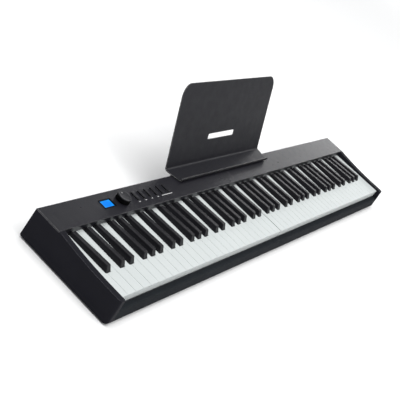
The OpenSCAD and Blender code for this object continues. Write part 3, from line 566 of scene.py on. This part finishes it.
def dial():
    """The dial: a ribbed grip, and a cap with a rounded rim, a shallow dish and a pointer mark."""
    low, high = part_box("dial_knob")
    centre = Vector(((low.x + high.x) / 2, (low.y + high.y) / 2, 0))
    outer = (high.x - low.x) / 2
    ribs = 60
    steps = ribs * 4
    rib_depth = 0.35 * MM

    def ring(radius, z, ribbed=0.0):
        points = []
        for k in range(steps):
            a = 2 * math.pi * k / steps
            r = radius - ribbed * rib_depth * (0.5 - 0.5 * math.cos(ribs * a))
            points.append(centre + Vector((r * math.cos(a), r * math.sin(a), z)))
        return points

    top = high.z
    rim = 1.2 * MM
    bm = bmesh.new()
    skin(bm, [ring(outer - 0.8 * MM, low.z),
              ring(outer, low.z + 0.6 * MM),
              ring(outer, low.z + 0.9 * MM, 1.0),
              ring(outer - 0.25 * MM, top - rim - 0.3 * MM, 1.0),
              ring(outer - 0.9 * MM, top - rim - 0.1 * MM)])
    # The grip takes the darker colour: painted shade on the dial's side.
    piece("dial_grip_painted_shade", bm, "dial_grip_painted_shade", "dial", ["dial_knob"])

    bm = bmesh.new()
    loops = [ring(outer - 1.2 * MM, top - rim - 0.3 * MM)]
    rim_steps = 5
    for k in range(rim_steps + 1):
        a = math.radians(90 * k / rim_steps)
        loops.append(ring(outer - 0.3 * MM - rim * (1 - math.cos(a)),
                          top - rim * (1 - math.sin(a))))
    loops += [ring(outer - 2.1 * MM, top - 0.05 * MM), ring(outer - 2.6 * MM, top - 0.35 * MM),
              ring(outer / 2, top - 0.45 * MM), ring(1 * MM, top - 0.5 * MM)]
    skin(bm, loops)
    piece("dial_cap", bm, "dial_plastic", "dial")

    bm = bmesh.new()
    mark_y = centre.y + outer - 5.2 * MM
    mark_w, mark_d, mark_t = 1.0 * MM, 3.4 * MM, 0.18 * MM
    mark = rounded_loop(centre.x, mark_y, mark_w, mark_d, 0.45 * MM, top - 0.5 * MM, 4)
    skin(bm, [mark, raised(mark, mark_t)])
    piece("dial_mark", bm, "label_paint", "dial")


def push_button(k):
    """A long push button with round corners, a soft top edge and a slightly crowned top."""
    node = f"button_{k}"
    low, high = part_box(node)
    cx, cy = (low.x + high.x) / 2, (low.y + high.y) / 2
    flange = 1 * MM
    width, depth = high.x - low.x - 2 * flange, high.y - low.y - 2 * flange
    radius = 2 * MM
    edge = 0.7 * MM
    crown = 0.12 * MM
    edge_steps = 4
    skirt_z = CASE_TOP - 3.8 * MM
    skirt_t = 1 * MM
    stem = 4 * MM
    flat_w, flat_d = width - 4.2 * MM, depth - 6 * MM
    bm = bmesh.new()
    loops = [rounded_loop(cx, cy, width, depth, radius, skirt_z + skirt_t),
             rounded_loop(cx, cy, width, depth, radius, high.z - edge)]
    for step in range(1, edge_steps + 1):
        a = math.radians(90 * step / edge_steps)
        shrink = edge * (1 - math.cos(a))
        loops.append(rounded_loop(cx, cy, width - 2 * shrink, depth - 2 * shrink, radius - shrink,
                                  high.z - crown - (edge - crown) * (1 - math.sin(a))))
    loops.append(rounded_loop(cx, cy, flat_w, flat_d, 0.8 * MM, high.z))
    skin(bm, loops)
    skirt = rounded_loop(cx, cy, width + 2 * flange, depth + 2 * flange, radius, skirt_z)
    skin(bm, [skirt, raised(skirt, skirt_t)])
    skin(bm, [rounded_loop(cx, cy, stem, stem, 0.6 * MM, low.z),
              rounded_loop(cx, cy, stem, stem, 0.6 * MM, skirt_z + 0.2 * MM)])
    piece(f"push_button_{k}", bm, "button_rubber", BODY_OF[node], [node])


def button_marks():
    """A short painted dash in front of each button, and a long one across the last two."""
    buttons = [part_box(f"button_{k}") for k in range(1, BUTTON_COUNT + 1)]
    centres = [(low.x + high.x) / 2 for low, high in buttons]
    front = buttons[0][0].y - 2.6 * MM
    short = 5 * MM
    long = centres[5] - centres[4] + 16 * MM
    depth = 1.5 * MM
    sunk = 0.05 * MM
    paint = 0.04 * MM
    dashes = [(x, short) for x in centres[:4]]
    dashes.append(((centres[4] + centres[5]) / 2, long))
    for number, (x, length) in enumerate(dashes, 1):
        bm = bmesh.new()
        flat = rounded_loop(x, front, length, depth, 0.5 * MM, CASE_TOP - sunk, 4)
        skin(bm, [flat, raised(flat, sunk + paint)])
        piece(f"button_dash_{number}", bm, "label_paint", "left_half")


def display():
    """A tray inside the bezel, and the screen sunk in it."""
    low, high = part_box("display_lens")
    cx, cy = (low.x + high.x) / 2, (low.y + high.y) / 2
    width, depth = high.x - low.x, high.y - low.y
    margin = 0.4 * MM
    sunk = 1.7 * MM
    inner_w, inner_d = width - 2 * margin, depth - 2 * margin
    bm = bmesh.new()
    skin(bm, [rounded_loop(cx, cy, width, depth, 0.8 * MM, low.z),
              rounded_loop(cx, cy, width, depth, 0.8 * MM, high.z - 0.2 * MM),
              rounded_loop(cx, cy, width - 0.3 * MM, depth - 0.3 * MM, 0.7 * MM, high.z),
              rounded_loop(cx, cy, inner_w, inner_d, 0.6 * MM, high.z),
              rounded_loop(cx, cy, inner_w, inner_d, 0.6 * MM, high.z - sunk)])
    piece("display_frame", bm, "bezel_plastic", "left_half")
    bm = bmesh.new()
    floor_z = high.z - sunk
    fit = 0.02 * MM
    chamfer = 0.4 * MM
    edge = rounded_loop(cx, cy, inner_w - fit, inner_d - fit, 0.6 * MM, floor_z - 0.1 * MM)
    skin(bm, [edge, raised(edge, 0.2 * MM),
              rounded_loop(cx, cy, inner_w - chamfer, inner_d - chamfer, 0.5 * MM,
                           floor_z + 0.2 * MM)])
    piece("display_screen", bm, "display_glass", "left_half", ["display_lens"])


dial()
for number in range(1, BUTTON_COUNT + 1):
    push_button(number)
button_marks()
display()


# Trim on the rear panel --------------------------------------------------------------------------

def socket_ring(name, x, radius):
    """A turned metal collar round a socket in the rear panel."""
    low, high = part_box("jack_panel")
    centre = Vector((x, high.y, (low.z + high.z) / 2))
    axis = (0, 1, 0)
    bm = bmesh.new()
    outer = radius + 1.5 * MM
    inner = radius + 0.05 * MM
    sunk = 0.2 * MM
    profile = [(outer, -sunk), (outer, 0.3 * MM), (outer - 0.25 * MM, 0.55 * MM),
               (radius + 0.3 * MM, 0.6 * MM), (inner, 0.35 * MM), (inner, -sunk)]
    rings = [[bm.verts.new(p) for p in circle_loop(centre, axis, r, along)] for r, along in profile]
    count = len(rings[0])
    for here, after in zip(rings, rings[1:] + rings[:1]):
        for k in range(count):
            nxt = (k + 1) % count
            bm.faces.new((here[k], here[nxt], after[nxt], after[k]))
    piece(name, bm, "bright_steel", "left_half")


for mount in frame["record"]["mounts"]:
    if mount["kind"] == "bore":
        socket_ring(mount["name"] + "_collar", mount["pos_m"][0], mount["dims"]["r_mm"] * MM)


# CAD nodes that stay as they are, with rounded edges and better materials -----------------------

def dress(node, material, rounding=0.0, segments=2):
    """Gives a CAD node its material and, where rounding is set, rounds its edges by modifiers."""
    shown = frame["nodes"][node]
    shown.data.materials.clear()
    shown.data.materials.append(MATERIALS[material])
    if not rounding:
        return
    joined = shown.modifiers.new("joined", "WELD")
    joined.merge_threshold = 0.001 * MM
    flat = shown.modifiers.new("whole faces", "DECIMATE")
    flat.decimate_type = "DISSOLVE"
    flat.angle_limit = math.radians(0.4)
    rounded = shown.modifiers.new("rounded edges", "BEVEL")
    rounded.width = rounding * MM
    rounded.segments = segments
    rounded.limit_method = "ANGLE"
    rounded.angle_limit = math.radians(40)
    rounded.harden_normals = False
    shown.modifiers.new("even shading", "WEIGHTED_NORMAL")


for half in ("left_", "right_"):
    dress(half + "end_cheek", "case_plastic", 0.9, 3)
    dress(half + "top_deck", "deck_plastic", 0.7, 3)
    dress(half + "front_rail", "rail_plastic", 0.5, 2)
    dress(half + "bottom_case", "case_plastic")
    dress(half + "feet", "foot_rubber", 0.3)
    dress(half + "case_screws", "screw_steel")
    dress(half + "key_frame", "frame_plastic")
    dress(half + "pivot_rod", "bright_steel")
    dress(half + "contact_board", "circuit_board")
    dress(half + "contact_strip", "silicone")
    dress(half + "speaker", "speaker_metal")
    dress(half + "hinge_leaf", "hinge_steel")
    dress(half + "seam_connector", "contact_housing", 0.2)
for node, material, rounding in (
        ("main_board", "circuit_board", 0.0), ("battery_pack", "battery_wrap", 0.6),
        ("display_bezel", "bezel_plastic", 0.2), ("control_board", "circuit_board", 0.0),
        ("jack_panel", "bezel_plastic", 0.0), ("hinge_spine", "hinge_steel", 0.0),
        ("hinge_pins", "bright_steel", 0.2), ("music_rest", "rest_paint", 0.45),
        ("dial_shaft", "bright_steel", 0.3), ("power_switch", "switch_plastic", 0.3)):
    dress(node, material, rounding)


# Floor and light --------------------------------------------------------------------------------

def floor():
    """A plain pale floor, large enough to fill the view."""
    half = 14.0
    bm = bmesh.new()
    bm.faces.new([bm.verts.new(p) for p in rectangle(-half, half, -half, half, 0)])
    mesh = bpy.data.meshes.new("floor")
    bm.to_mesh(mesh)
    bm.free()
    made = bpy.data.objects.new("floor", mesh)
    s = Shader("floor_paint")
    s.link(s.mix(s.spread(s.noise(0.6, 3), 0.0, 1.0), (0.955, 0.955, 0.955), (0.945, 0.945, 0.945)),
           s.bsdf.inputs["Base Color"])
    s.bsdf.inputs["Roughness"].default_value = 0.85
    s.bsdf.inputs["Specular IOR Level"].default_value = 0.1
    mesh.materials.append(s.material)
    bpy.context.scene.collection.objects.link(made)


def softbox(name, place, target, width, height, power, colour=(1, 1, 1)):
    data = bpy.data.lights.new(name, "AREA")
    data.shape = "RECTANGLE"
    data.size, data.size_y = width, height
    data.energy = power
    data.color = colour
    made = bpy.data.objects.new(name, data)
    made.location = place
    made.rotation_euler = (Vector(target) - Vector(place)).to_track_quat("-Z", "Y").to_euler()
    bpy.context.scene.collection.objects.link(made)


def lights():
    world = bpy.data.worlds.new("studio")
    world.use_nodes = True
    background = world.node_tree.nodes["Background"]
    background.inputs["Color"].default_value = (0.96, 0.98, 1, 1)
    background.inputs["Strength"].default_value = 0.24
    bpy.context.scene.world = world
    softbox("overhead", (-0.7, 0.2, 3.4), (-0.2, 0.0, 0), 4.6, 4.2, 165)
    softbox("treble_end", (4.8, 1.5, 0.72), (0.3, 0.0, 0.05), 2.4, 0.9, 38)
    softbox("front", (0.4, -3.2, 2.6), (0.2, 0, 0.05), 3.4, 1.8, 55)
    softbox("front_treble", (3.6, -1.35, 1.75), (0.1, 0, 0.1), 1.0, 0.5, 16)


floor()
lights()
bpy.context.scene.view_settings.view_transform = "Standard"
